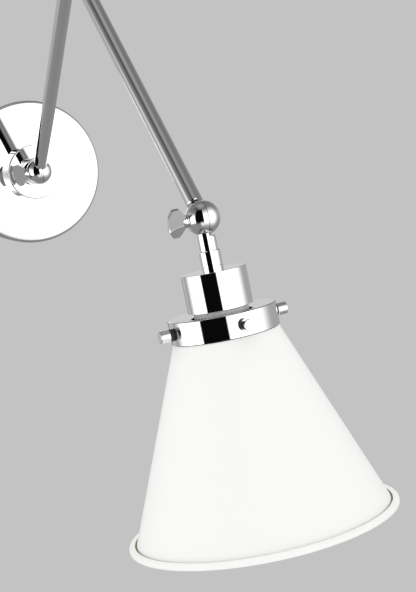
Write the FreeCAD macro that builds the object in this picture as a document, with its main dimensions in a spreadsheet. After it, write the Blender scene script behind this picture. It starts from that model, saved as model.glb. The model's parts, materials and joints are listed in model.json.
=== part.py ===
import FreeCAD, Part
import math
import os
import Sketcher
from FreeCAD import Placement, Rotation, Vector

# Swing arm wall sconce: a round canopy on a wall crossbar, a swivelling neck, two tubular arms with
# split ball joints that wing screws clamp, and a white cone shade held in a gallery by thumbscrews.
# Row frame: origin at the middle of the crossbar's back face, on the wall; +Z up, -Y into the room.

doc = FreeCAD.newDocument("swing_arm_sconce")
dims = doc.addObject("Spreadsheet::Sheet", "dims")

DIMENSIONS = [
    ("canopy_dia", 127.0, "canopy outer diameter"),
    ("canopy_depth", 15.5, "canopy depth from the wall"),
    ("canopy_wall", 1.2, "spun sheet thickness"),
    ("canopy_edge", 3.8, "radius of the canopy's front edge"),
    ("boss_dia", 48.0, "raised boss diameter"),
    ("boss_height", 12.0, "boss height above the canopy"),
    ("boss_thread", 5.0, "length of the boss's threaded hole"),
    ("boss_edge", 1.1, "radius of the boss's front edge"),
    ("bar_length", 104.0, "crossbar length"),
    ("bar_width", 19.0, "crossbar width"),
    ("bar_thick", 2.5, "crossbar thickness"),
    ("bar_rise", 4.5, "height of the crossbar's raised middle above the wall"),
    ("bar_foot", 35.0, "distance from the middle to the foot of the joggle"),
    ("bar_top", 29.0, "half length of the raised middle"),
    ("overcut", 1.0, "how far a cutter or an overlap runs past a face"),
    ("far", 30.0, "reach of a cutter that must clear everything"),
    ("edge_break", 0.4, "radius of a small softened edge"),
    ("easy_fit", 0.2, "radial clearance in a plain hole"),
    ("press_fit", 0.02, "radial clearance in a pressed or brazed fit"),
    ("slot_spacing", 88.9, "distance between the two wall slots"),
    ("slot_length", 11.0, "end to end length of a wall slot"),
    ("slot_width", 4.8, "width of a wall slot"),
    ("earth_offset", 18.0, "earth screw's distance from the middle"),
    ("earth_head_dia", 7.2, "earth screw head diameter"),
    ("earth_head", 2.4, "earth screw head height"),
    ("driver_width", 0.9, "width of a screwdriver slot"),
    ("driver_depth", 1.2, "depth of a screwdriver slot"),
    ("pipe_dia", 10.0, "threaded pipe diameter"),
    ("pipe_bore", 7.0, "threaded pipe bore"),
    ("pipe_back", 1.0, "wall to the threaded pipe's back end"),
    ("nut_flats", 14.0, "locknut across flats"),
    ("nut_thick", 2.8, "locknut thickness"),
    ("canopy_nut_flats", 17.0, "canopy locknut across flats"),
    ("thread_fit", 0.05, "radial clearance in a screwed or running fit"),
    ("pivot_out", 42.0, "wall to the first ball's centre"),
    ("spigot_dia", 16.0, "swivel spigot diameter"),
    ("spigot_length", 6.7, "swivel spigot length inside the boss"),
    ("spigot_bore", 9.0, "wire way through the swivel"),
    ("groove_depth", 1.5, "depth of the spigot's stop groove"),
    ("groove_width", 2.8, "width of the spigot's stop groove"),
    ("groove_land", 20.0, "angle of the uncut stop land in the groove"),
    ("dog_dia", 2.2, "diameter of the stop screw's dog point"),
    ("dog_clear", 0.3, "gap between the dog point and the groove's floor"),
    ("dog_shoulder", 0.6, "gap between the spigot and the stop screw's thread"),
    ("stop_sink", 0.8, "depth of the stop screw's end below the boss's side"),
    ("swivel_gap", 0.9, "gap between the boss and the collar"),
    ("swivel_washer_thick", 0.8, "thickness of the washer in that gap"),
    ("swivel_washer_inset", 1.0, "collar's edge to the washer's edge"),
    ("collar_dia", 25.0, "grooved collar diameter"),
    ("collar_start", 6.0, "first ball's centre to the collar's open end"),
    ("collar_end", 13.6, "first ball's centre to the collar's wall end"),
    ("ring_first", 2.0, "collar's open end to its first ring groove"),
    ("ring_pitch", 1.8, "distance between the ring grooves"),
    ("ring_radius", 0.55, "radius of a ring groove's section"),
    ("ball_dia", 22.8, "joint ball diameter"),
    ("ball_wall", 2.8, "joint ball wall thickness"),
    ("ball_gap", 0.3, "seam between the two half balls"),
    ("ball_clear", 0.3, "clearance round a ball at its neighbour's neck"),
    ("post_dia", 8.0, "pivot post diameter inside the ball"),
    ("way_start", 4.6, "ball's centre to the start of the wire way"),
    ("washer_thick", 1.1, "friction washer thickness"),
    ("seat_out", 10.7, "ball's centre to the wing screw's flat seat"),
    ("screw_dia", 4.0, "wing screw and set screw diameter"),
    ("screw_reach", 7.0, "wing screw reach beyond the ball's centre"),
    ("neck_start", 11.7, "ball's centre to the rounded end of a neck"),
    ("neck_round", 1.0, "radius of a neck's free edge"),
    ("tube_dia", 11.4, "arm tube outer diameter"),
    ("tube_wall", 1.0, "arm tube wall"),
    ("tube_inset", 14.0, "ball's centre to the tube's end"),
    ("spigot_in_tube", 6.0, "length of the knuckle's spigot in the tube"),
    ("wire_way", 6.4, "bore of the knuckles' wire way"),
    ("arm_length", 256.0, "arm length between ball centres"),
    ("lower_lean", 52.9, "lower arm's angle from the vertical"),
    ("upper_lean", 42.6, "upper arm's angle from the vertical"),
    ("shade_lean", 3.0, "shade axis angle from the vertical"),
    ("lead_dia", 2.0, "insulated conductor diameter"),
    ("lead_offset", 1.3, "conductor's distance from the tube's axis"),
    ("lead_stop", 11.9, "ball's centre to the straight lead's end"),
    ("bushing_length", 5.0, "length of a plastic sleeve"),
    ("bushing_bore", 4.9, "bore of a plastic sleeve"),
    ("wing_span", 19.6, "wing width across its flat sides"),
    ("wing_flare", 4.8, "wing's root to the start of its full width"),
    ("wing_shoulder", 9.2, "wing's root to the end of its full width"),
    ("wing_length", 12.0, "wing's root to its outer end"),
    ("wing_end", 9.0, "width of the wing's outer end"),
    ("wing_thick", 2.8, "wing thickness"),
    ("wing_corner", 1.8, "radius of the wing's corners"),
    ("hub_dia", 8.4, "wing screw hub diameter"),
    ("hub_length", 1.4, "wing screw hub length"),
    ("hub_groove", 0.6, "depth and width of the hub's ring groove"),
    ("hub_cap", 2.6, "length of the hub's cone inside the wing"),
    ("hub_in_wing", 0.4, "how far the wing's root sits inside the hub"),
    ("base_wing_turn", 330.0, "angle of the base wing from the vertical"),
    ("shade_wing_turn", 24.0, "angle of the shade wing from the vertical"),
    ("stem_dia", 11.8, "shade knuckle neck diameter"),
    ("stem_end", 21.1, "ball's centre to the neck's end"),
    ("coupling_dia", 13.8, "stem coupling diameter"),
    ("coupling_end", 34.0, "ball's centre to the coupling's end"),
    ("coupling_edge", 0.5, "chamfer at the coupling's top"),
    ("coupling_bead", 2.4, "height of the bead at the coupling's foot"),
    ("coupling_groove", 0.6, "depth and width of the groove above the bead"),
    ("head_pipe_start", 12.4, "ball's centre to the head pipe's top"),
    ("head_pipe_dia", 8.0, "head pipe diameter"),
    ("head_pipe_bore", 5.6, "head pipe bore"),
    ("cup_dia", 42.5, "socket cup diameter"),
    ("gallery_top", 60.6, "ball's centre to the gallery's flat top"),
    ("cup_gap", 2.0, "gap between the cup's open end and the gallery"),
    ("cup_wall", 1.2, "socket cup wall"),
    ("cup_nut_flats", 12.0, "cup locknut across flats"),
    ("cup_nut_thick", 2.6, "cup locknut thickness"),
    ("gallery_dia", 70.8, "shade gallery diameter"),
    ("gallery_end", 75.6, "ball's centre to the gallery's open end"),
    ("gallery_wall", 1.2, "shade gallery wall"),
    ("gallery_edge", 0.8, "radius of the gallery's top edge"),
    ("thumb_level", 68.6, "ball's centre to the thumbscrews' plane"),
    ("thumb_dia", 8.0, "thumbscrew head diameter"),
    ("thumb_head", 7.0, "thumbscrew head length"),
    ("thumb_edge", 0.7, "radius of a thumbscrew head's edges"),
    ("thumb_gap", 2.2, "gap between the gallery and a thumbscrew head"),
    ("thumb_shank", 3.6, "thumbscrew shank diameter"),
    ("thumb_tip_gap", 0.3, "gap between a thumbscrew's tip and the shade's neck"),
    ("thumb_washer_dia", 7.8, "black rubber washer diameter under a thumbscrew head"),
    ("thumb_washer_thick", 2.1, "black rubber washer thickness"),
    ("body_dia", 36.0, "lamp socket body diameter in the cup"),
    ("nose_dia", 31.0, "lamp socket nose diameter"),
    ("body_start", 40.0, "ball's centre to the socket body's closed end"),
    ("body_floor", 53.0, "ball's centre to the floor under the lamp cap"),
    ("nose_end", 88.0, "ball's centre to the socket nose's open end"),
    ("body_wall", 2.5, "socket body wall in the cup"),
    ("body_base", 3.0, "thickness of the socket body's closed end and floor"),
    ("lamp_dia", 26.6, "bore of the socket's screw shell"),
    ("shell_wall", 0.5, "screw shell thickness"),
    ("shell_hole", 16.0, "hole in the screw shell's floor"),
    ("shell_taper", 2.3, "height of the taper between the screw shell's floor and wall"),
    ("shell_inset", 3.0, "socket nose's end to the screw shell's end"),
    ("contact_dia", 8.0, "centre contact diameter"),
    ("contact_tip_dia", 4.8, "centre contact tip diameter"),
    ("contact_base", 0.6, "centre contact base thickness"),
    ("contact_height", 2.2, "centre contact height"),
    ("ring_nut_rim", 5.0, "width of the socket's retaining ring"),
    ("ring_nut_thick", 4.0, "thickness of the socket's retaining ring"),
    ("terminal_offset", 10.0, "socket's axis to a terminal screw"),
    ("terminal_head_dia", 5.2, "terminal screw head diameter"),
    ("terminal_head", 1.6, "terminal screw head height"),
    ("lead_bend", 2.4, "bend radius of a socket lead"),
    ("lead_top", 13.0, "ball's centre to a socket lead's top"),
    ("lead_level", 46.4, "ball's centre to the leads' level at the terminals"),
    ("lead_reach", 6.9, "socket's axis to a socket lead's end"),
    ("shade_apex", -10.6, "ball's centre to the outer cone's apex"),
    ("shade_half_angle", 21.74, "half angle of the outer cone"),
    ("shade_start", 76.2, "ball's centre to the top of the cone"),
    ("shade_end", 203.8, "ball's centre to the rim's lower face"),
    ("shade_wall", 3.0, "glass thickness across the radius"),
    ("rim_dia", 178.4, "rim bead diameter"),
    ("rim_height", 4.2, "rim bead height"),
    ("rim_round", 1.7, "radius of the rim bead's edges"),
    ("rim_gutter", 2.0, "depth of the gutter between the cone and the rim bead"),
    ("rim_gutter_width", 1.5, "width of that gutter at the bead's top"),
    ("fitter_dia", 62.0, "shade neck diameter"),
    ("lip_dia", 66.4, "shade lip diameter"),
    ("lip_top", 62.8, "ball's centre to the lip's top face"),
    ("lip_thick", 3.0, "lip thickness"),
    ("lip_round", 0.8, "radius of the lip's edges"),
    ("neck_taper", 2.0, "height of the taper inside the shade's neck"),
]

for row, (alias, value, meaning) in enumerate(DIMENSIONS, start=1):
    dims.set("A%d" % row, meaning)
    dims.set("B%d" % row, str(value))
    dims.setAlias("B%d" % row, alias)
doc.recompute()

NODES = []
NEAR = 0.01


def size(alias):
    """A driving dimension as a plain number."""
    return float(getattr(dims, alias))


def value_of(expression):
    """The number an expression gives, with the sheet's aliases read as dims.alias."""
    result = dims.evalExpression(expression)
    return float(getattr(result, "Value", result))


def node(obj, label):
    """Name a finished sub-part; its label is its node and file name."""
    obj.Label = label
    NODES.append(obj)
    return obj


def place(obj, base, turn="0", axis=(1, 0, 0)):
    """Put a sub-part where three expressions say, turned about one row axis."""
    obj.Placement = Placement(Vector(0, 0, 0), Rotation(Vector(*axis), value_of(turn)))
    obj.setExpression(".Placement.Rotation.Angle", "(%s) * 1deg" % turn)
    for letter, expression in zip("xyz", base):
        obj.setExpression(".Placement.Base." + letter, expression)
    return obj


# ---- where each member starts; its own +Z runs along it, and its X is the row's X ----

WALL = ("0", "0", "0")
BALL_A = ("0", "-dims.pivot_out", "0")
BALL_B = (
    "0",
    "-dims.pivot_out - dims.arm_length * sin(dims.lower_lean * 1deg)",
    "dims.arm_length * cos(dims.lower_lean * 1deg)",
)
BALL_C = (
    "0",
    "(%s) - dims.arm_length * sin(dims.upper_lean * 1deg)" % BALL_B[1],
    "(%s) - dims.arm_length * cos(dims.upper_lean * 1deg)" % BALL_B[2],
)
OUTWARD = "90"
TO_WALL = "270"
UP_LOWER_ARM = "dims.lower_lean"
DOWN_LOWER_ARM = "dims.lower_lean + 180"
DOWN_UPPER_ARM = "180 - dims.upper_lean"
UP_UPPER_ARM = "360 - dims.upper_lean"
DOWN_SHADE = "180 - dims.shade_lean"
GROOVE_LEVEL = "(dims.collar_end + dims.swivel_gap + dims.spigot_length / 2)"


# ---- PartDesign helpers ----


def new_body(label):
    """An empty PartDesign body that will be one node."""
    return node(doc.addObject("PartDesign::Body", label), label)


def new_sketch(body, name, role):
    """An empty sketch on one of the body's own origin planes."""
    sketch = body.newObject("Sketcher::SketchObject", body.Label + "_" + name)
    plane = next(f for f in body.Origin.OriginFeatures if f.Role == role)
    sketch.AttachmentSupport = [(plane, "")]
    sketch.MapMode = "FlatFace"
    return sketch


def fix_point(sketch, geometry, point, x, y):
    """Hold one sketch point at two expressions, or on an axis where the expression is 0."""
    for kind, expression, axis in (("DistanceX", x, -2), ("DistanceY", y, -1)):
        if expression == "0":
            sketch.addConstraint(Sketcher.Constraint("PointOnObject", geometry, point, axis))
            continue
        held = Sketcher.Constraint(kind, -1, 1, geometry, point, value_of(expression))
        index = sketch.addConstraint(held)
        sketch.setExpression("Constraints[%d]" % index, expression)


def closed_outline(sketch, points):
    """A closed chain of straight lines through points given as pairs of expressions."""
    places = [Vector(value_of(x), value_of(y), 0) for x, y in points]
    count = len(places)
    for i in range(count):
        sketch.addGeometry(Part.LineSegment(places[i], places[(i + 1) % count]), False)
    for i in range(count):
        sketch.addConstraint(Sketcher.Constraint("Coincident", i, 2, (i + 1) % count, 1))
    for i, (x, y) in enumerate(points):
        fix_point(sketch, i, 1, x, y)


def circle(sketch, x, y, diameter):
    """A circle with its centre and diameter held by expressions."""
    middle = Vector(value_of(x), value_of(y), 0)
    up = Vector(0, 0, 1)
    index = sketch.addGeometry(Part.Circle(middle, up, value_of(diameter) / 2), False)
    fix_point(sketch, index, 3, x, y)
    held = sketch.addConstraint(Sketcher.Constraint("Diameter", index, value_of(diameter)))
    sketch.setExpression("Constraints[%d]" % held, diameter)


def slot(sketch, x, length, width):
    """A round-ended slot along the sketch's X, centred on (x, 0)."""
    half = value_of("(%s - %s) / 2" % (length, width))
    radius = value_of(width) / 2
    middle = value_of(x)
    up = Vector(0, 0, 1)
    first = sketch.GeometryCount
    for centre, start in ((middle - half, math.pi / 2), (middle + half, -math.pi / 2)):
        ring = Part.Circle(Vector(centre, 0, 0), up, radius)
        sketch.addGeometry(Part.ArcOfCircle(ring, start, start + math.pi), False)
    low = Part.LineSegment(Vector(middle - half, -radius, 0), Vector(middle + half, -radius, 0))
    high = Part.LineSegment(Vector(middle - half, radius, 0), Vector(middle + half, radius, 0))
    sketch.addGeometry([low, high], False)
    left, right, below, above = range(first, first + 4)
    sketch.addConstraint(Sketcher.Constraint("Tangent", left, 2, below, 1))
    sketch.addConstraint(Sketcher.Constraint("Tangent", below, 2, right, 1))
    sketch.addConstraint(Sketcher.Constraint("Tangent", right, 2, above, 2))
    sketch.addConstraint(Sketcher.Constraint("Tangent", above, 1, left, 1))
    fix_point(sketch, left, 3, "%s - (%s - %s) / 2" % (x, length, width), "0")
    fix_point(sketch, right, 3, "%s + (%s - %s) / 2" % (x, length, width), "0")
    held = sketch.addConstraint(Sketcher.Constraint("Radius", left, radius))
    sketch.setExpression("Constraints[%d]" % held, "%s / 2" % width)


def revolve(body, name, points, axis="V_Axis", kind="Revolution"):
    """Turn an outline given as (radius, height) round the body's Z, or round X with H_Axis."""
    sketch = new_sketch(body, name + "_outline", "XZ_Plane")
    closed_outline(sketch, points)
    feature = body.newObject("PartDesign::" + kind, body.Label + "_" + name)
    feature.Profile = sketch
    feature.ReferenceAxis = (sketch, [axis])
    feature.Angle = 360.0
    doc.recompute()
    return feature


def turned(label, points, base, turn):
    """A turned piece: one revolved outline, placed along its member."""
    body = new_body(label)
    revolve(body, "turning", points)
    place(body, base, turn)
    return body


def pad(body, name, role, draw, length):
    """Pad a sketch to both sides of its plane."""
    sketch = new_sketch(body, name + "_outline", role)
    draw(sketch)
    feature = body.newObject("PartDesign::Pad", body.Label + "_" + name)
    feature.Profile = sketch
    feature.SideType = "Symmetric"
    feature.setExpression("Length", length)
    doc.recompute()
    return feature


def pocket(body, name, role, draw, reverse=None):
    """Cut a sketch right through: both ways, or one way only when reverse is given."""
    before = body.Shape.Volume
    sketch = new_sketch(body, name + "_outline", role)
    draw(sketch)
    feature = body.newObject("PartDesign::Pocket", body.Label + "_" + name)
    feature.Profile = sketch
    feature.Type = "ThroughAll"
    if reverse is None:
        feature.SideType = "Symmetric"
    else:
        feature.Reversed = reverse
    doc.recompute()
    if body.Shape.Volume > before - NEAR:
        raise RuntimeError("the pocket %s of %s cuts nothing" % (name, body.Label))
    return feature


def round_rings(body, radius, rings):
    """Fillet the circular edges that have the given (radius, height) pairs."""
    base = body.Tip
    wanted = [(value_of(r), value_of(z)) for r, z in rings]
    names = []
    for number, edge in enumerate(base.Shape.Edges, start=1):
        if not isinstance(edge.Curve, Part.Circle):
            continue
        for r, z in wanted:
            if abs(edge.Curve.Radius - r) < NEAR and abs(edge.Curve.Center.z - z) < NEAR:
                names.append("Edge%d" % number)
    if len(names) < len(rings):
        raise RuntimeError("an edge to round is missing on " + body.Label)
    feature = body.newObject("PartDesign::Fillet", body.Label + "_rounding")
    feature.Base = (base, names)
    feature.setExpression("Radius", radius)
    doc.recompute()
    return feature


# ---- Part helpers ----


def solid(kind, name, **sizes):
    """A Part primitive whose sizes are expressions; at and turn place it."""
    at = sizes.pop("at", WALL)
    turn = sizes.pop("turn", "0")
    axis = sizes.pop("axis", (1, 0, 0))
    obj = doc.addObject("Part::" + kind, name)
    for key, expression in sizes.items():
        obj.setExpression(key, expression)
    return place(obj, at, turn, axis)


def cut(name, base, tool):
    obj = doc.addObject("Part::Cut", name)
    obj.Base = base
    obj.Tool = tool
    return obj


def common(name, first, second):
    obj = doc.addObject("Part::MultiCommon", name)
    obj.Shapes = [first, second]
    return obj


def fuse(name, *shapes):
    obj = doc.addObject("Part::MultiFuse", name)
    obj.Shapes = list(shapes)
    return obj


def group(label, *shapes):
    """Several separate solids that share one node."""
    obj = doc.addObject("Part::Compound", label)
    obj.Links = list(shapes)
    return node(obj, label)


def rod(name, radius, low, high, x="0", y="0"):
    """A cylinder along the member's Z between two levels."""
    length = "(%s) - (%s)" % (high, low)
    return solid("Cylinder", name, Radius=radius, Height=length, at=(x, y, low))


def cross_rod(name, radius, low, high):
    """A cylinder along X between two levels."""
    length = "(%s) - (%s)" % (high, low)
    start = (low, "0", "0")
    return solid("Cylinder", name, Radius=radius, Height=length, at=start, turn="90", axis=(0, 1, 0))


def side_box(name, side, past):
    """A large box on one side of x = side * past."""
    low = past if side > 0 else "-(%s) - 2 * dims.far" % past
    wide = "2 * dims.far"
    return solid("Box", name, Length=wide, Width=wide, Height=wide, at=(low, "-dims.far", "-dims.far"))


def hex_nut(name, flats, thick, bore, low):
    """A hexagon nut round the member's Z, its lower face at a level."""
    corner = "(%s) / sqrt(3)" % flats
    blank = solid("Prism", name + "_blank", Circumradius=corner, Height=thick, at=("0", "0", low))
    blank.Polygon = 6
    return cut(name, blank, rod(name + "_bore", bore, low, "(%s) + (%s)" % (low, thick)))


# ---- wall fixing ----


def crossbar():
    """Pressed strap: two feet on the wall, a raised middle that holds the threaded pipe."""
    body = new_body("wall_crossbar")
    end = "dims.bar_length / 2"
    inner = "-dims.bar_rise"
    outer = "-dims.bar_rise - dims.bar_thick"
    half = [
        (end, "-dims.bar_thick"),
        (end, "0"),
        ("dims.bar_foot", "0"),
        ("dims.bar_top", inner),
    ]
    left = [("-(%s)" % x, y) for x, y in reversed(half)]
    back = [("-dims.bar_foot", "-dims.bar_thick"), ("-dims.bar_top", outer)]
    front = [("dims.bar_top", outer), ("dims.bar_foot", "-dims.bar_thick")]
    profile = half + left + back + front
    pad(body, "strap", "XY_Plane", lambda s: closed_outline(s, profile), "dims.bar_width")
    pipe = "dims.pipe_dia + 2 * dims.thread_fit"
    pocket(body, "pipe_hole", "XZ_Plane", lambda s: circle(s, "0", "0", pipe))
    earth = "dims.screw_dia + 2 * dims.thread_fit"
    pocket(body, "earth_hole", "XZ_Plane", lambda s: circle(s, "dims.earth_offset", "0", earth))
    for name, side in (("left_slot", "-"), ("right_slot", "")):
        middle = "%sdims.slot_spacing / 2" % side
        pocket(body, name, "XZ_Plane", lambda s: slot(s, middle, "dims.slot_length", "dims.slot_width"))
    return body


def driver_slot(sketch, end):
    """The outline of a screwdriver slot in a screw's end."""
    floor = "%s - dims.driver_depth" % end
    past = "%s + dims.overcut" % end
    half = "dims.driver_width / 2"
    closed_outline(sketch, [("-" + half, floor), (half, floor), (half, past), ("-" + half, past)])


def wall_fasteners():
    """Threaded pipe, its two locknuts on the strap, the canopy's locknut and the earth screw."""
    outer = "dims.pipe_dia / 2"
    inner = "dims.pipe_bore / 2"
    low = "dims.pipe_back"
    top = "dims.canopy_depth + dims.boss_thread - dims.easy_fit"
    pipe = [(inner, low), (outer, low), (outer, top), (inner, top)]
    turned("crossbar_pipe", pipe, WALL, OUTWARD)
    bore = "dims.pipe_dia / 2 + dims.thread_fit"
    strap_back = "dims.bar_rise - dims.nut_thick"
    strap_front = "dims.bar_rise + dims.bar_thick"
    nuts = [
        hex_nut("back_nut", "dims.nut_flats", "dims.nut_thick", bore, strap_back),
        hex_nut("front_nut", "dims.nut_flats", "dims.nut_thick", bore, strap_front),
    ]
    place(group("pipe_locknuts", *nuts), WALL, OUTWARD)
    under_canopy = "dims.canopy_depth - dims.canopy_wall - dims.nut_thick"
    nut = hex_nut("canopy_nut", "dims.canopy_nut_flats", "dims.nut_thick", bore, under_canopy)
    place(node(nut, "canopy_locknut"), WALL, OUTWARD)

    body = new_body("earth_screw")
    seat = "dims.bar_rise + dims.bar_thick"
    crown = seat + " + dims.earth_head"
    shank = "dims.screw_dia / 2"
    head = "dims.earth_head_dia / 2"
    turning = [("0", low), (shank, low), (shank, seat), (head, seat), (head, crown), ("0", crown)]
    revolve(body, "turning", turning)
    pocket(body, "driver_slot", "XZ_Plane", lambda s: driver_slot(s, crown))
    place(body, ("dims.earth_offset", "0", "0"), OUTWARD)


def canopy():
    """Spun round cover: open at the wall, with a softly rounded front edge."""
    outer = "dims.canopy_dia / 2"
    inner = "dims.canopy_dia / 2 - dims.canopy_wall"
    hole = "dims.pipe_dia / 2 + dims.easy_fit"
    face = "dims.canopy_depth"
    under = "dims.canopy_depth - dims.canopy_wall"
    points = [(hole, under), (hole, face), (outer, face), (outer, "0"), (inner, "0"), (inner, under)]
    body = turned("canopy", points, WALL, OUTWARD)
    round_rings(body, "dims.canopy_edge", [(outer, face)])
    round_rings(body, "dims.canopy_edge - dims.canopy_wall", [(inner, under)])


def boss():
    """Turned boss: screwed on the threaded pipe, bored for the swivel spigot."""
    back = "dims.canopy_depth"
    front = "dims.canopy_depth + dims.boss_height"
    step = "dims.canopy_depth + dims.boss_thread"
    outer = "dims.boss_dia / 2"
    thread = "dims.pipe_dia / 2 + dims.thread_fit"
    bore = "dims.spigot_dia / 2 + dims.thread_fit"
    points = [(thread, back), (outer, back), (outer, front), (bore, front), (bore, step), (thread, step)]
    body = turned("swivel_boss", points, WALL, OUTWARD)
    round_rings(body, "dims.boss_edge", [(outer, front)])
    level = "dims.pivot_out - %s" % GROOVE_LEVEL
    hole = "dims.screw_dia + 2 * dims.thread_fit"
    pocket(body, "set_screw_hole", "XZ_Plane", lambda s: circle(s, "0", level, hole), reverse=True)


def stop_screw():
    """Set screw under the boss: its dog point runs in the spigot's groove and stops at the land."""
    root = "dims.spigot_dia / 2 - dims.groove_depth + dims.dog_clear"
    shoulder = "dims.spigot_dia / 2 + dims.dog_shoulder"
    end = "dims.boss_dia / 2 - dims.stop_sink"
    dog = "dims.dog_dia / 2"
    thread = "dims.screw_dia / 2"
    points = [("0", root), (dog, root), (dog, shoulder), (thread, shoulder), (thread, end), ("0", end)]
    body = new_body("swivel_stop_screw")
    revolve(body, "turning", points)
    pocket(body, "driver_slot", "XZ_Plane", lambda s: driver_slot(s, end))
    place(body, ("0", "-(dims.pivot_out - %s)" % GROOVE_LEVEL, "0"), "180")


def swivel_washer():
    """Thin fibre washer between the boss and the collar."""
    inner = "dims.spigot_dia / 2 + dims.easy_fit"
    outer = "dims.collar_dia / 2 - dims.swivel_washer_inset"
    low = "dims.canopy_depth + dims.boss_height"
    high = low + " + dims.swivel_washer_thick"
    turned("swivel_washer", [(inner, low), (outer, low), (outer, high), (inner, high)], WALL, OUTWARD)


# ---- ball joints ----


def half_ball(name, side):
    """One hollow half of a split ball, with a pivot post and a washer recess; side is +1 or -1."""
    ball = solid("Sphere", name + "_ball", Radius="dims.ball_dia / 2")
    half = common(name + "_half", ball, side_box(name + "_keep", side, "dims.ball_gap / 2"))
    inside = solid("Sphere", name + "_inside", Radius="dims.ball_dia / 2 - dims.ball_wall")
    post = cross_rod(name + "_post", "dims.post_dia / 2", "-dims.far", "dims.far")
    shell = cut(name + "_shell", half, cut(name + "_hollow", inside, post))
    deep = "(dims.washer_thick / 2 + dims.thread_fit)"
    recess = cross_rod(name + "_recess", "dims.post_dia / 2", "-" + deep, deep)
    return cut(name + "_recessed", shell, recess)


def neck(name, side, radius, end):
    """The neck of a half ball: full on its own side, rounded and clear of the other half."""
    root = "dims.ball_dia / 2 - dims.ball_wall / 2"
    keep = side_box(name + "_side", side, "dims.ball_gap / 2")
    own = common(name + "_own", rod(name + "_root", radius, root, end), keep)
    stub = rod(name + "_stub", radius, "dims.neck_start", end)
    doc.recompute()
    rounded = doc.addObject("Part::Fillet", name + "_rounded")
    rounded.Base = stub
    level = size("neck_start")
    rings = [i for i, e in enumerate(stub.Shape.Edges, start=1) if e.BoundBox.ZMax < level + NEAR]
    rounded.Edges = [(i, size("neck_round"), size("neck_round")) for i in rings]
    return [own, rounded]


def finish_half(name, side, pieces, way, way_end):
    """Join a half ball to its neck, then bore the wire way and the screw's hole."""
    joined = fuse(name + "_joined", half_ball(name, side), *pieces)
    bored = cut(name + "_bored", joined, rod(name + "_way", way, "dims.way_start", way_end))
    if side > 0:
        thread = "dims.screw_dia / 2 + dims.thread_fit"
        end = "dims.screw_reach + dims.overcut"
        return cut(name + "_finished", bored, cross_rod(name + "_thread", thread, "-dims.overcut", end))
    hole = cross_rod(name + "_hole", "dims.screw_dia / 2 + dims.easy_fit", "-dims.far", "dims.overcut")
    seat = cross_rod(name + "_seat", "dims.ball_dia / 2", "-dims.far", "-dims.seat_out")
    return cut(name + "_finished", cut(name + "_drilled", bored, hole), seat)


def arm_knuckle(label, side, base, turn):
    """Half ball whose neck carries a spigot brazed into an arm tube."""
    end = "dims.tube_inset + dims.spigot_in_tube"
    pieces = neck(label, side, "dims.tube_dia / 2", "dims.tube_inset")
    inside = "dims.tube_dia / 2 - dims.tube_wall - dims.press_fit"
    pieces.append(rod(label + "_spigot", inside, "dims.tube_inset - dims.overcut", end))
    finished = finish_half(label, side, pieces, "dims.wire_way / 2", end + " + dims.overcut")
    place(node(finished, label), base, turn)


def swivel_neck():
    """Half ball on a grooved collar, with the spigot that turns in the boss."""
    label = "swivel_neck"
    collar = rod("collar", "dims.collar_dia / 2", "dims.collar_start", "dims.collar_end")
    cup = solid("Sphere", "cup_ball", Radius="dims.ball_dia / 2 + dims.ball_clear")
    relief = common("cup_relief", cup, side_box("cup_side", 1, "-dims.ball_gap / 2"))
    pieces = [cut("cupped_collar", collar, relief)]
    end = "dims.collar_end + dims.swivel_gap + dims.spigot_length"
    pieces.append(rod("spigot", "dims.spigot_dia / 2", "dims.collar_end - dims.overcut", end))
    shape = finish_half(label, -1, pieces, "dims.spigot_bore / 2", end + " + dims.overcut")
    for number in range(3):
        at = ("0", "0", "dims.collar_start + dims.ring_first + %d * dims.ring_pitch" % number)
        name = "ring_%d" % number
        ring = solid("Torus", name, Radius1="dims.collar_dia / 2", Radius2="dims.ring_radius", at=at)
        shape = cut("grooved_%d" % number, shape, ring)
    low = "%s - dims.groove_width / 2" % GROOVE_LEVEL
    high = "%s + dims.groove_width / 2" % GROOVE_LEVEL
    tyre = rod("groove_tyre", "dims.spigot_dia", low, high)
    tyre.setExpression("Angle", "(360 - dims.groove_land) * 1deg")
    place(tyre, ("0", "0", low), "270 + dims.groove_land / 2", (0, 0, 1))
    core = rod("groove_core", "dims.spigot_dia / 2 - dims.groove_depth", low, high)
    shape = cut("swivel_neck_grooved", shape, cut("groove", tyre, core))
    place(node(shape, label), BALL_A, TO_WALL)


def friction_washer(label, base):
    """Flat washer on the pivot, between the two posts."""
    rim = "dims.post_dia / 2 - dims.easy_fit"
    blank = cross_rod(label + "_blank", rim, "-dims.washer_thick / 2", "dims.washer_thick / 2")
    hole = cross_rod(label + "_hole", "dims.screw_dia / 2 + dims.easy_fit", "-dims.far", "dims.far")
    place(node(cut(label, blank, hole), label), base)


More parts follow.
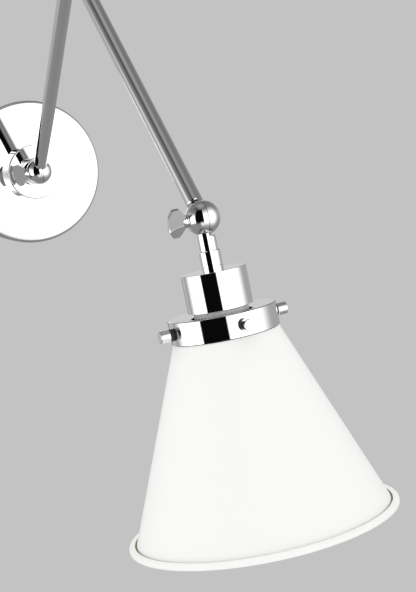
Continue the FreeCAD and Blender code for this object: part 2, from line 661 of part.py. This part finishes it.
def wing_screw(label, base, turn):
    """Screw with a hub and a flat leaf-shaped wing; the wing lies across the ball's side."""
    body = new_body(label)
    seat = "-dims.seat_out - dims.thread_fit"
    hub_end = "-dims.seat_out - dims.hub_length"
    hub = "dims.hub_dia / 2"
    thread = "dims.screw_dia / 2"
    waist = "dims.hub_dia / 2 - dims.hub_groove"
    turning = [
        ("dims.screw_reach", "0"),
        ("dims.screw_reach", thread),
        (seat, thread),
        (seat, hub),
        (seat + " - dims.hub_groove", hub),
        (seat + " - dims.hub_groove", waist),
        (seat + " - 2 * dims.hub_groove", waist),
        (seat + " - 2 * dims.hub_groove", hub),
        (hub_end, hub),
        (hub_end + " - dims.hub_cap", "0"),
    ]
    revolve(body, "turning", turning, axis="H_Axis")
    root = "(%s + dims.hub_in_wing)" % hub_end
    half = [
        (root, waist),
        (root + " - dims.wing_flare", "dims.wing_span / 2"),
        (root + " - dims.wing_shoulder", "dims.wing_span / 2"),
        (root + " - dims.wing_length", "dims.wing_end / 2"),
    ]
    mirrored = [(x, "-(%s)" % z) for x, z in reversed(half)]
    leaf = pad(body, "wing", "XZ_Plane", lambda s: closed_outline(s, half + mirrored), "dims.wing_thick")
    reach = value_of(root + " - dims.wing_flare / 2")
    corners = []
    for number, edge in enumerate(leaf.Shape.Edges, start=1):
        box = edge.BoundBox
        if box.YLength > size("wing_thick") - NEAR and box.XLength < NEAR and box.XMax < reach:
            corners.append("Edge%d" % number)
    rounding = body.newObject("PartDesign::Fillet", label + "_corners")
    rounding.Base = (leaf, corners)
    rounding.setExpression("Radius", "dims.wing_corner")
    doc.recompute()
    place(body, base, turn)


# ---- arms ----


def arm_tube(label, base, turn):
    outer = "dims.tube_dia / 2"
    inner = "dims.tube_dia / 2 - dims.tube_wall"
    low = "dims.tube_inset"
    high = "dims.arm_length - dims.tube_inset"
    turned(label, [(inner, low), (outer, low), (outer, high), (inner, high)], base, turn)


def arm_leads(label, base, turn):
    """Line, neutral and earth conductors inside one arm."""
    wires = []
    for number in range(3):
        angle = "(90 + 120 * %d) * 1deg" % number
        x = "dims.lead_offset * cos(%s)" % angle
        y = "dims.lead_offset * sin(%s)" % angle
        far_end = "dims.arm_length - dims.lead_stop"
        wires.append(rod("%s_%d" % (label, number), "dims.lead_dia / 2", "dims.lead_stop", far_end, x, y))
    place(group(label, *wires), base, turn)


def arm_bushings(label, base, turn):
    """Two plastic sleeves that keep the conductors off the knuckles' sharp edges."""
    sleeves = []
    far_low = "dims.arm_length - dims.tube_inset - dims.bushing_length"
    for end, low in (("_near", "dims.tube_inset"), ("_far", far_low)):
        high = low + " + dims.bushing_length"
        blank = rod(label + end, "dims.wire_way / 2 - dims.press_fit", low, high)
        bore = rod(label + end + "_bore", "dims.bushing_bore / 2", low, high)
        sleeves.append(cut(label + end + "_sleeve", blank, bore))
    place(group(label, *sleeves), base, turn)


# ---- head ----


def shade_knuckle():
    """Half ball with the stem neck that hangs from the upper arm."""
    label = "shade_knuckle"
    pieces = neck(label, -1, "dims.stem_dia / 2", "dims.stem_end")
    bore = "dims.head_pipe_dia / 2 + dims.thread_fit"
    shape = finish_half(label, -1, pieces, bore, "dims.stem_end + dims.overcut")
    place(node(shape, label), BALL_C, DOWN_SHADE)


def head_turnings():
    """Coupling, pipe, cup and gallery, one under the other along the shade's axis."""
    bore = "dims.head_pipe_dia / 2 + dims.thread_fit"
    wide = "dims.coupling_dia / 2"
    top = "dims.stem_end"
    end = "dims.coupling_end"
    bead = "dims.coupling_end - dims.coupling_bead"
    coupling = [
        (bore, top),
        (wide + " - dims.coupling_edge", top),
        (wide, top + " + dims.coupling_edge"),
        (wide, bead + " - dims.coupling_groove"),
        (wide + " - dims.coupling_groove", bead + " - dims.coupling_groove / 2"),
        (wide, bead),
        (wide, end),
        (bore, end),
    ]
    turned("stem_coupling", coupling, BALL_C, DOWN_SHADE)

    outer = "dims.head_pipe_dia / 2"
    inner = "dims.head_pipe_bore / 2"
    low = "dims.head_pipe_start"
    high = "dims.body_start + dims.body_base - dims.easy_fit"
    turned("head_pipe", [(inner, low), (outer, low), (outer, high), (inner, high)], BALL_C, DOWN_SHADE)

    rim = "dims.gallery_top - dims.cup_gap"
    skin = "dims.cup_dia / 2"
    lining = "dims.cup_dia / 2 - dims.cup_wall"
    under = "dims.coupling_end + dims.cup_wall"
    points = [(bore, end), (skin, end), (skin, rim), (lining, rim), (lining, under), (bore, under)]
    cup = turned("socket_cup", points, BALL_C, DOWN_SHADE)
    round_rings(cup, "dims.edge_break", [(skin, end)])
    nut = hex_nut("cup_nut", "dims.cup_nut_flats", "dims.cup_nut_thick", bore, under)
    place(node(nut, "cup_locknut"), BALL_C, DOWN_SHADE)


def gallery():
    """Shade holder: a flat plate with a deep ring, tapped for four thumbscrews."""
    hole = "dims.nose_dia / 2 + dims.easy_fit"
    outer = "dims.gallery_dia / 2"
    inner = "dims.gallery_dia / 2 - dims.gallery_wall"
    top = "dims.gallery_top"
    under = "dims.gallery_top + dims.gallery_wall"
    end = "dims.gallery_end"
    points = [(hole, top), (outer, top), (outer, end), (inner, end), (inner, under), (hole, under)]
    body = turned("shade_gallery", points, BALL_C, DOWN_SHADE)
    round_rings(body, "dims.gallery_edge", [(outer, top)])
    tapped = "dims.thumb_shank + 2 * dims.thread_fit"
    pocket(body, "side_holes", "YZ_Plane", lambda s: circle(s, "0", "dims.thumb_level", tapped))
    pocket(body, "front_holes", "XZ_Plane", lambda s: circle(s, "0", "dims.thumb_level", tapped))


def thumbscrew(label, quarter):
    """Plain round-headed thumbscrew pointing at the shade's neck."""
    tip = "dims.fitter_dia / 2 + dims.thumb_tip_gap"
    neck_end = "dims.gallery_dia / 2 + dims.thumb_gap"
    head_end = "dims.gallery_dia / 2 + dims.thumb_gap + dims.thumb_head"
    shank = "dims.thumb_shank / 2"
    head = "dims.thumb_dia / 2"
    stepped = [(shank, neck_end), (head, neck_end), (head, head_end)]
    points = [("0", tip), (shank, tip)] + stepped + [("0", head_end)]
    body = new_body(label)
    revolve(body, "turning", points)
    round_rings(body, "dims.thumb_edge", [(head, neck_end), (head, head_end)])
    along = Rotation(Vector(1, 0, 0), value_of(DOWN_SHADE))
    outwards = Rotation(Vector(0, 0, 1), 90 * quarter) * Rotation(Vector(0, 1, 0), 90)
    ball = Vector(*[value_of(e) for e in BALL_C])
    level = along.multVec(Vector(0, 0, size("thumb_level")))
    body.Placement = Placement(ball + level, along * outwards)


def thumbscrew_washers():
    """Four rubber washers on the gallery's side, one under each thumbscrew head."""
    rings = []
    low = "dims.gallery_dia / 2 + dims.thread_fit"
    high = low + " + dims.thumb_washer_thick"
    bore = "dims.thumb_shank / 2 + dims.easy_fit"
    for quarter in range(4):
        name = "washer_%d" % quarter
        blank = cross_rod(name + "_blank", "dims.thumb_washer_dia / 2", low, high)
        ring = cut(name + "_ring", blank, cross_rod(name + "_bore", bore, low, high))
        place(ring, ("0", "0", "dims.thumb_level"), "%d * 90" % quarter, (0, 0, 1))
        rings.append(ring)
    place(group("thumbscrew_washers", *rings), BALL_C, DOWN_SHADE)


def lamp_socket():
    """Moulded socket body, its screw shell, centre contact, terminals and retaining ring."""
    thread = "dims.head_pipe_dia / 2 + dims.thread_fit"
    wide = "dims.body_dia / 2"
    slim = "dims.nose_dia / 2"
    start = "dims.body_start"
    floor = "dims.body_floor"
    shoulder = "dims.gallery_top"
    end = "dims.nose_end"
    bore = "dims.lamp_dia / 2 + dims.shell_wall + dims.press_fit"
    lining = "dims.body_dia / 2 - dims.body_wall"
    roof = "dims.body_floor - dims.body_base"
    base = "dims.body_start + dims.body_base"
    outline = [
        (thread, start),
        (wide, start),
        (wide, shoulder),
        (slim, shoulder),
        (slim, end),
        (bore, end),
        (bore, floor),
        ("0", floor),
        ("0", roof),
        (lining, roof),
        (lining, base),
        (thread, base),
    ]
    turned("socket_body", outline, BALL_C, DOWN_SHADE)

    inner = "dims.lamp_dia / 2"
    skin = "dims.lamp_dia / 2 + dims.shell_wall"
    hole = "dims.shell_hole / 2"
    high = "dims.nose_end - dims.shell_inset"
    sheet = "dims.body_floor + dims.shell_wall"
    shell = [
        (hole, floor),
        (skin + " - dims.shell_taper", floor),
        (skin, floor + " + dims.shell_taper"),
        (skin, high),
        (inner, high),
        (inner, sheet + " + dims.shell_taper"),
        (inner + " - dims.shell_taper", sheet),
        (hole, sheet),
    ]
    turned("socket_screw_shell", shell, BALL_C, DOWN_SHADE)

    foot = "dims.contact_dia / 2"
    tip = "dims.contact_tip_dia / 2"
    step = "dims.body_floor + dims.contact_base"
    crown = "dims.body_floor + dims.contact_height"
    contact = [("0", floor), (foot, floor), (foot, step), (tip, crown), ("0", crown)]
    turned("socket_centre_contact", contact, BALL_C, DOWN_SHADE)

    seat = "dims.gallery_wall + dims.gallery_top"
    ring_out = "dims.nose_dia / 2 + dims.ring_nut_rim"
    ring_in = "dims.nose_dia / 2 + dims.thread_fit"
    under = "dims.gallery_wall + dims.gallery_top + dims.ring_nut_thick"
    ring = [(ring_in, seat), (ring_out, seat), (ring_out, under), (ring_in, under)]
    turned("socket_ring_nut", ring, BALL_C, DOWN_SHADE)

    screws = []
    head_top = roof + " - dims.terminal_head"
    for name, x in (("line", "dims.terminal_offset"), ("neutral", "-dims.terminal_offset")):
        screws.append(rod(name + "_terminal", "dims.terminal_head_dia / 2", head_top, roof, x))
    place(group("socket_terminal_screws", *screws), BALL_C, DOWN_SHADE)


def socket_leads():
    """Two conductors down the stem, each bent outwards to its terminal."""
    radius = size("lead_dia") / 2
    bend = size("lead_bend")
    level = size("lead_level")
    wires = []
    for side in (1, -1):
        x = side * size("lead_offset")
        corner = Vector(x + side * bend, 0, level - bend)
        top = Vector(x, 0, size("lead_top"))
        before = Vector(x, 0, level - bend)
        mid = corner + Vector(-side * bend, 0, bend) * math.sqrt(0.5)
        after = Vector(x + side * bend, 0, level)
        end = Vector(side * size("lead_reach"), 0, level)
        path = Part.Wire([
            Part.LineSegment(top, before).toShape(),
            Part.Arc(before, mid, after).toShape(),
            Part.LineSegment(after, end).toShape(),
        ])
        section = Part.Wire(Part.makeCircle(radius, top, Vector(0, 0, 1)))
        wires.append(path.makePipeShell([section], True, True))
    leads = doc.addObject("Part::Feature", "socket_leads")
    leads.Shape = Part.makeCompound(wires)
    place(node(leads, "socket_leads"), BALL_C, DOWN_SHADE)


def cone_radius(level):
    """Outer radius of the cone at a level, as an expression."""
    return "((%s) - dims.shade_apex) * tan(dims.shade_half_angle * 1deg)" % level


def shade():
    """Thick white cone: a lipped neck for the gallery and a rolled bead round the rim."""
    neck_out = "dims.fitter_dia / 2"
    neck_in = "dims.fitter_dia / 2 - dims.shade_wall"
    lip = "dims.lip_dia / 2"
    top = "dims.lip_top"
    under_lip = "dims.lip_top + dims.lip_thick"
    start = "dims.shade_start"
    end = "dims.shade_end"
    bead = "dims.shade_end - dims.rim_height"
    gutter_edge = cone_radius(bead) + " + dims.rim_gutter_width"
    gutter_floor = "(%s + dims.rim_gutter)" % bead
    taper = "(dims.shade_start + dims.neck_taper)"
    inside = "%s - dims.shade_wall"
    points = [
        (neck_in, top),
        (lip, top),
        (lip, under_lip),
        (neck_out, under_lip),
        (neck_out, start),
        (cone_radius(start), start),
        (cone_radius(gutter_floor), gutter_floor),
        (gutter_edge, bead),
        ("dims.rim_dia / 2", bead),
        ("dims.rim_dia / 2", end),
        (inside % cone_radius(end), end),
        (inside % cone_radius(taper), taper),
        (neck_in, "dims.shade_start - dims.neck_taper"),
    ]
    body = turned("cone_shade", points, BALL_C, DOWN_SHADE)
    round_rings(body, "dims.rim_round", [("dims.rim_dia / 2", bead), ("dims.rim_dia / 2", end)])
    round_rings(body, "dims.lip_round", [(lip, top), (lip, under_lip)])


# ---- the whole lamp ----

crossbar()
wall_fasteners()
canopy()
boss()
stop_screw()
swivel_washer()
swivel_neck()

arm_knuckle("base_knuckle", 1, BALL_A, UP_LOWER_ARM)
arm_tube("lower_arm_tube", BALL_A, UP_LOWER_ARM)
arm_knuckle("lower_elbow_knuckle", 1, BALL_B, DOWN_LOWER_ARM)
arm_leads("lower_arm_leads", BALL_A, UP_LOWER_ARM)
arm_bushings("lower_arm_bushings", BALL_A, UP_LOWER_ARM)

arm_knuckle("upper_elbow_knuckle", -1, BALL_B, DOWN_UPPER_ARM)
arm_tube("upper_arm_tube", BALL_B, DOWN_UPPER_ARM)
arm_knuckle("shade_end_knuckle", 1, BALL_C, UP_UPPER_ARM)
arm_leads("upper_arm_leads", BALL_B, DOWN_UPPER_ARM)
arm_bushings("upper_arm_bushings", BALL_B, DOWN_UPPER_ARM)

friction_washer("base_friction_washer", BALL_A)
friction_washer("elbow_friction_washer", BALL_B)
friction_washer("shade_friction_washer", BALL_C)
wing_screw("base_wing_screw", BALL_A, "dims.base_wing_turn")
wing_screw("elbow_wing_screw", BALL_B, "dims.lower_lean")
wing_screw("shade_wing_screw", BALL_C, "dims.shade_wing_turn")

shade_knuckle()
head_turnings()
gallery()
for place_name, quarter_turns in (("right", 0), ("front", 1), ("left", 2), ("back", 3)):
    thumbscrew("thumbscrew_" + place_name, quarter_turns)
thumbscrew_washers()
lamp_socket()
socket_leads()
shade()

# ---- check every object, then write one file for each node ----

doc.recompute()
for obj in doc.Objects:
    if "Invalid" in obj.State or "Error" in obj.State:
        raise RuntimeError("%s did not recompute: %s" % (obj.Name, obj.State))
os.makedirs("parts", exist_ok=True)
for piece in NODES:
    shape = piece.Shape
    if shape.isNull() or not shape.isValid():
        raise RuntimeError("%s has no valid shape" % piece.Label)
for piece in NODES:
    piece.Shape.exportStep("parts/%s.step" % piece.Label)
print("wrote", len(NODES), "nodes")
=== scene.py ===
import json

import bpy
from mathutils import Matrix, Vector


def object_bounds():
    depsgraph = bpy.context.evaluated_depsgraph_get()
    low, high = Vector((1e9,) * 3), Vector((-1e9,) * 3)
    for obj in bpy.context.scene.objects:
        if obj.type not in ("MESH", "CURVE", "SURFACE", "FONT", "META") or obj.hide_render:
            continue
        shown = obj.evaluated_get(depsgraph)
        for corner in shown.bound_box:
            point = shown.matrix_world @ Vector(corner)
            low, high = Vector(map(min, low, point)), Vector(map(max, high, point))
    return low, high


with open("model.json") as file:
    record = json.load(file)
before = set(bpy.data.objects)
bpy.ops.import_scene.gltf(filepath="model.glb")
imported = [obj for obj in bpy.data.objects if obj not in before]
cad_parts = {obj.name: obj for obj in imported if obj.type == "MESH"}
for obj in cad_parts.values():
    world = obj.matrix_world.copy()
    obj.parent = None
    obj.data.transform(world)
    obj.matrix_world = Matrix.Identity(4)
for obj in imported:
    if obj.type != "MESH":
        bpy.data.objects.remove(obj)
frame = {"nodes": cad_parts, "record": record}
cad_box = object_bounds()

NODES = frame["nodes"]

# ---------------------------------------------------------------- camera

# The camera stands to the left of the lamp, about level with its canopy, and is rolled a little.
CAMERA_PLACE = Vector((-0.32447, -1.27730, 0.04895))
CAMERA_TURN = Vector((0.1101, -0.3670, -0.2049))  # axis times angle, from looking straight at the wall
LENS_MM = 87.64
SENSOR_MM = 36.0
NEAREST = 0.01  # clipping distances
FARTHEST = 50.0


def make_camera():
    """Camera whose view axis starts along +Y and is then turned by CAMERA_TURN, as seen by the camera."""
    look_at_wall = Matrix(((1, 0, 0), (0, 0, -1), (0, 1, 0)))
    turn = Matrix.Rotation(CAMERA_TURN.length, 3, CAMERA_TURN)
    to_view = turn @ look_at_wall
    flip = Matrix(((1, 0, 0), (0, -1, 0), (0, 0, -1)))
    data = bpy.data.cameras.new("camera")
    data.lens = LENS_MM
    data.sensor_width = SENSOR_MM
    data.clip_start = NEAREST
    data.clip_end = FARTHEST
    camera = bpy.data.objects.new("camera", data)
    camera.matrix_world = Matrix.Translation(CAMERA_PLACE) @ (to_view.transposed() @ flip).to_4x4()
    bpy.context.scene.collection.objects.link(camera)
    bpy.context.scene.camera = camera


# ---------------------------------------------------------------- node helpers


class Nodes:
    """A small wrapper that adds and links shader nodes."""

    def __init__(self, tree):
        self.tree = tree
        tree.nodes.clear()

    def add(self, kind, **inputs):
        """Add a node; each keyword is a socket's name with its spaces as underscores."""
        made = self.tree.nodes.new(kind)
        for key, value in inputs.items():
            self.put(made.inputs[key.replace("_", " ")], value)
        return made

    def put(self, socket, value):
        """Link a socket to another node's output, or set it to a constant."""
        if isinstance(value, bpy.types.NodeSocket):
            self.tree.links.new(value, socket)
        else:
            socket.default_value = value

    def math(self, operation, *values):
        made = self.tree.nodes.new("ShaderNodeMath")
        made.operation = operation
        for socket, value in zip(made.inputs, values):
            self.put(socket, value)
        return made.outputs[0]

    def rise(self, value, start, full):
        """0 before start, 1 past full, with a smooth step between; start may be the larger."""
        made = self.tree.nodes.new("ShaderNodeMapRange")
        made.interpolation_type = "SMOOTHSTEP"
        low, high = (start, full) if start < full else (full, start)
        ends = (0.0, 1.0) if start < full else (1.0, 0.0)
        for socket, given in zip(made.inputs, (value, low, high, *ends)):
            self.put(socket, given)
        return made.outputs[0]

    def band(self, value, edges):
        """1 between the inner two of four rising edges, fading to 0 at the outer two."""
        start, full, last_full, end = edges
        return self.math("MULTIPLY", self.rise(value, start, full), self.rise(value, end, last_full))

    def vector_math(self, operation, *values):
        """Outputs of a vector operation: Vector or Value, as the operation gives."""
        made = self.tree.nodes.new("ShaderNodeVectorMath")
        made.operation = operation
        for socket, value in zip(made.inputs, values):
            self.put(socket, value)
        return made.outputs

    def mix_colour(self, factor, first, second):
        """Mix two colours; a colour mix has its sockets at 0, 6 and 7 and its result at 2."""
        made = self.tree.nodes.new("ShaderNodeMix")
        made.data_type = "RGBA"
        for index, given in zip((0, 6, 7), (factor, first, second)):
            self.put(made.inputs[index], given)
        return made.outputs[2]

    def blend(self, factor, first, second):
        """Mix two shaders."""
        made = self.tree.nodes.new("ShaderNodeMixShader")
        for socket, given in zip(made.inputs, (factor, first, second)):
            self.put(socket, given)
        return made.outputs[0]

    def ramp(self, factor, stops):
        """Grey colour ramp from (position, grey) pairs, in rising order."""
        made = self.tree.nodes.new("ShaderNodeValToRGB")
        elements = made.color_ramp.elements
        while len(elements) < len(stops):
            elements.new(0.5)  # moved to its own position below
        for element, (position, grey) in zip(elements, stops):
            element.position = position
            element.color = (grey, grey, grey, 1.0)
        self.put(made.inputs[0], factor)
        return made.outputs[0]

    def noise(self, place, scale, detail):
        """Grey noise from 0 to 1; scale is in cells per metre."""
        return self.add("ShaderNodeTexNoise", Vector=place, Scale=scale, Detail=detail).outputs["Fac"]

    def surface(self, **inputs):
        """Finish a material with a principled shader."""
        shader = self.add("ShaderNodeBsdfPrincipled", **inputs)
        self.add("ShaderNodeOutputMaterial", Surface=shader.outputs[0])


# ---------------------------------------------------------------- studio

BACKDROP_COLOUR = (0.546, 0.546, 0.546, 1.0)  # even grey behind the lamp
FLAG_GREY = 0.003  # black flag beside the camera
DOME = [(0.0, 0.99), (1.0, 1.05)]  # soft light on painted and moulded surfaces, from below to above

# What the polished metal mirrors, as grey levels. Position 0 is straight down, 0.5 level and 1 straight up.
ROOM = [(0.0, 0.25), (0.28, 0.28), (0.45, 0.31), (0.58, 0.30), (0.74, 0.20), (0.86, 0.20), (0.96, 0.37)]

# Soft-edged patches of the studio, in degrees: azimuths, then heights, each as (from, full, full, to).
# The third figure is the light that a patch adds, or the share of light that it takes away.
ADDED = [
    ((143, 156, 200, 201), (-34, -22, 26, 44), 0.20),  # wall behind the lamp, right half
    ((-201, -200, -156, -143), (-34, -22, 26, 44), 0.20),  # wall behind the lamp, left half
    ((150, 156, 168, 172), (0, 1.2, 7, 14), 0.13),  # brighter wall that the flat tops mirror
    ((84, 104, 134, 148), (-16, -7, 7, 16), 0.11),  # faint light on the right
    ((-40, -39, 42, 104), (-62, -6, 6, 66), 1.55),  # white card in front and on the right
    ((-150, -104, -60, -59), (-26, -12, 2, 40), 1.55),  # white card on the left
]
SHADED = [
    ((166, 171, 200, 201), (-26, -22, 26, 30), 0.72),  # wall in the canopy's shade
    ((-116, -102, -74, -56), (50, 58, 68, 80), 0.50),  # gap above the left card
]
FLAG = ((-72.5, -68, -15.5, -11), (-38, -15, 56, 66))


def soft_box(n, azimuth, height, sides, ends):
    """1 inside a soft-edged patch of the studio."""
    return n.math("MULTIPLY", n.band(azimuth, sides), n.band(height, ends))


def make_studio():
    """Soft cards round the lamp for the metal to mirror, and an even dome for everything else.

    Azimuth 0 faces the room and grows to the right; height is the angle above the horizon.
    """
    world = bpy.data.worlds.new("studio")
    bpy.context.scene.world = world
    world.use_nodes = True
    n = Nodes(world.node_tree)
    direction = n.add("ShaderNodeTexCoord").outputs["Generated"]
    xyz = n.add("ShaderNodeSeparateXYZ", Vector=direction).outputs
    forward = n.math("MULTIPLY", xyz["Y"], -1.0)
    azimuth = n.math("DEGREES", n.math("ARCTAN2", xyz["X"], forward))
    height = n.math("DEGREES", n.math("ARCSINE", xyz["Z"]))
    up = n.math("MULTIPLY_ADD", height, 1.0 / 180.0, 0.5)  # 0 straight down, 1 straight up

    light = n.ramp(up, ROOM)
    for sides, ends, strength in ADDED:
        light = n.math("MULTIPLY_ADD", soft_box(n, azimuth, height, sides, ends), strength, light)
    for sides, ends, share in SHADED:
        left_over = n.math("MULTIPLY_ADD", soft_box(n, azimuth, height, sides, ends), -share, 1.0)
        light = n.math("MULTIPLY", light, left_over)
    darker = n.math("SUBTRACT", FLAG_GREY, light)
    light = n.math("MULTIPLY_ADD", darker, soft_box(n, azimuth, height, *FLAG), light)
    mirrored = n.add("ShaderNodeBackground", Color=light, Strength=1.0)

    dome = n.add("ShaderNodeBackground", Color=n.ramp(up, DOME), Strength=1.0)
    plain = n.add("ShaderNodeBackground", Color=BACKDROP_COLOUR, Strength=1.0)
    ray = n.add("ShaderNodeLightPath").outputs
    lit = n.blend(ray["Is Glossy Ray"], dome.outputs[0], mirrored.outputs[0])
    seen = n.blend(ray["Is Camera Ray"], lit, plain.outputs[0])
    n.add("ShaderNodeOutputWorld", Surface=seen)


FLOOR_HALF = 6.0  # half the floor's side
FLOOR_DROP = 0.35  # from the lamp's lowest point down to the floor


def make_floor():
    """Plain pale floor below the lamp, the same grey as the backdrop so no horizon shows."""
    mesh = bpy.data.meshes.new("floor")
    level = cad_box[0].z - FLOOR_DROP
    ring = ((-1, -1), (1, -1), (1, 1), (-1, 1))
    corners = [(FLOOR_HALF * x, FLOOR_HALF * y, level) for x, y in ring]
    mesh.from_pydata(corners, [], [(0, 1, 2, 3)])
    floor = bpy.data.objects.new("floor", mesh)
    bpy.context.scene.collection.objects.link(floor)
    for flag in ("visible_diffuse", "visible_glossy", "visible_transmission", "visible_shadow"):
        setattr(floor, flag, False)
    material = bpy.data.materials.new("floor_grey")
    material.use_nodes = True
    n = Nodes(material.node_tree)
    glow = n.add("ShaderNodeEmission", Color=BACKDROP_COLOUR, Strength=1.0)
    n.add("ShaderNodeOutputMaterial", Surface=glow.outputs[0])
    mesh.materials.append(material)


# ---------------------------------------------------------------- materials

SHADE_BALL = (0.0, -0.41946, -0.03402)  # the ball that the shade hangs from
SHADE_AXIS = (0.0, -0.05234, -0.99863)  # from that ball down the shade
GUTTER_LEVELS = (0.1997, 0.2003, 0.2021, 0.2025)  # along the axis, the gutter above the rim's bead
GUTTER_RADII = (0.0835, 0.0837, 0.0854, 0.0856)  # from the axis to the same gutter
GUTTER_PAINTED_SHADE = (0.42, 0.43, 0.31, 1.0)  # dark olive painted shade in the gutter, matched by eye

# Noises as (cells per metre, detail), and depths of the bumps that they raise, in metres.
METAL_DRIFT = (45.0, 3.0)  # slow change of tone and surface
METAL_FINE = (900.0, 4.0)  # fine change of roughness
METAL_WAVE_DEPTH = 0.0004
GLASS_DRIFT = (14.0, 3.0)  # slow change of tone
GLASS_GRAIN = (1400.0, 2.0)  # satin skin
GLASS_GRAIN_DEPTH = 0.0002
SOLID_DETAIL = 4.0
SOLID_GRAIN_DEPTH = 0.0003

GLASS_WHITES = ((0.935, 0.935, 0.925, 1.0), (0.925, 0.925, 0.91, 1.0))
GLASS_ROUGHNESS = 0.38
GLASS_SPREAD = 0.10  # how far the roughness varies
GLASS_BUMP = 0.06
GLASS_SPECULAR = 0.15  # low, so the sheen stays soft
SOLID_SPREAD = 0.15


def new_material(name):
    material = bpy.data.materials.new(name)
    material.use_nodes = True
    return material, Nodes(material.node_tree)


def polished_metal(name, colour, dark, roughness, spread, bump):
    """Plated metal: tone and roughness drift slightly, and fine polishing waves bend the reflections."""
    material, n = new_material(name)
    place = n.add("ShaderNodeTexCoord").outputs["Object"]
    drift = n.noise(place, *METAL_DRIFT)
    fine = n.noise(place, *METAL_FINE)
    tone = n.mix_colour(drift, (*colour, 1.0), (*dark, 1.0))
    rough = n.math("MULTIPLY_ADD", fine, spread, roughness)
    wave = n.add("ShaderNodeBump", Strength=bump, Distance=METAL_WAVE_DEPTH, Height=drift)
    n.surface(Base_Color=tone, Metallic=1.0, Roughness=rough, Normal=wave.outputs[0])
    return material


def in_gutter(n, place):
    """1 inside the narrow gutter above the rim's bead, where the glass gets painted shade; 0 elsewhere."""
    from_ball = n.vector_math("SUBTRACT", place, SHADE_BALL)["Vector"]
    level = n.vector_math("DOT_PRODUCT", from_ball, SHADE_AXIS)["Value"]
    across = n.vector_math("CROSS_PRODUCT", from_ball, SHADE_AXIS)["Vector"]
    radius = n.vector_math("LENGTH", across)["Value"]
    return n.math("MULTIPLY", n.band(level, GUTTER_LEVELS), n.band(radius, GUTTER_RADII))


def opal_glass(name):
    """White glass with a satin skin: even white, a faint warm drift, a soft sheen, and painted shade in the
    gutter above the rim.
    """
    material, n = new_material(name)
    place = n.add("ShaderNodeTexCoord").outputs["Object"]
    drift = n.noise(place, *GLASS_DRIFT)
    grain = n.noise(place, *GLASS_GRAIN)
    white = n.mix_colour(drift, *GLASS_WHITES)
    # painted shade: the gutter above the bead is coloured dark olive, standing in for the shade in that
    # recess
    tone = n.mix_colour(in_gutter(n, place), white, GUTTER_PAINTED_SHADE)
    rough = n.math("MULTIPLY_ADD", grain, GLASS_SPREAD, GLASS_ROUGHNESS)
    bump = n.add("ShaderNodeBump", Strength=GLASS_BUMP, Distance=GLASS_GRAIN_DEPTH, Height=grain)
    n.surface(
        Base_Color=tone,
        Roughness=rough,
        Normal=bump.outputs[0],
        Specular_IOR_Level=GLASS_SPECULAR,
    )
    return material


def plain_solid(name, colour, second, roughness, scale, bump):
    """Non-metal: two close tones on a noise, with a fine surface grain."""
    material, n = new_material(name)
    place = n.add("ShaderNodeTexCoord").outputs["Object"]
    drift = n.noise(place, scale, SOLID_DETAIL)
    tone = n.mix_colour(drift, (*colour, 1.0), (*second, 1.0))
    rough = n.math("MULTIPLY_ADD", drift, SOLID_SPREAD, roughness)
    wave = n.add("ShaderNodeBump", Strength=bump, Distance=SOLID_GRAIN_DEPTH, Height=drift)
    n.surface(Base_Color=tone, Roughness=rough, Normal=wave.outputs[0])
    return material


# Two tones, roughness, how far the roughness varies, and bump strength.
METALS = {
    "polished_nickel": ((0.86, 0.859, 0.856), (0.835, 0.833, 0.829), 0.012, 0.02, 0.02),
    "satin_nickel": ((0.86, 0.855, 0.845), (0.82, 0.815, 0.80), 0.14, 0.08, 0.10),
    "zinc_steel": ((0.62, 0.64, 0.67), (0.50, 0.52, 0.56), 0.26, 0.20, 0.30),
    "brass": ((0.83, 0.62, 0.28), (0.72, 0.52, 0.22), 0.16, 0.12, 0.20),
    "earth_brass": ((0.10, 0.42, 0.13), (0.07, 0.30, 0.09), 0.25, 0.10, 0.20),
}

# Two tones, roughness, the grain's noise scale, and bump strength.
SOLIDS = {
    "fibre_washer": ((0.030, 0.028, 0.026), (0.055, 0.05, 0.045), 0.65, 900.0, 0.4),
    "bushing_plastic": ((0.80, 0.79, 0.75), (0.74, 0.73, 0.68), 0.35, 300.0, 0.1),
    "lead_insulation": ((0.05, 0.05, 0.052), (0.03, 0.03, 0.03), 0.50, 500.0, 0.2),
    "black_rubber": ((0.014, 0.014, 0.014), (0.022, 0.022, 0.022), 0.55, 700.0, 0.3),
    "socket_ceramic": ((0.93, 0.928, 0.918), (0.90, 0.896, 0.88), 0.30, 120.0, 0.05),
    "socket_plastic": ((0.028, 0.026, 0.025), (0.05, 0.045, 0.04), 0.30, 250.0, 0.1),
}

FINISHES = {"white_glass": opal_glass("white_glass")}
FINISHES.update((name, polished_metal(name, *look)) for name, look in METALS.items())
FINISHES.update((name, plain_solid(name, *look)) for name, look in SOLIDS.items())


def dress_nodes():
    """Give every CAD node the finish of the slot that the record names for it."""
    slot_of = {entry["node"]: entry["material_slot"] for entry in frame["record"]["subparts"]}
    for name, obj in NODES.items():
        finish = FINISHES[slot_of[name]]
        for slot in obj.material_slots:
            slot.material = finish


make_camera()
make_studio()
make_floor()
dress_nodes()
bpy.context.scene.view_settings.view_transform = "Standard"
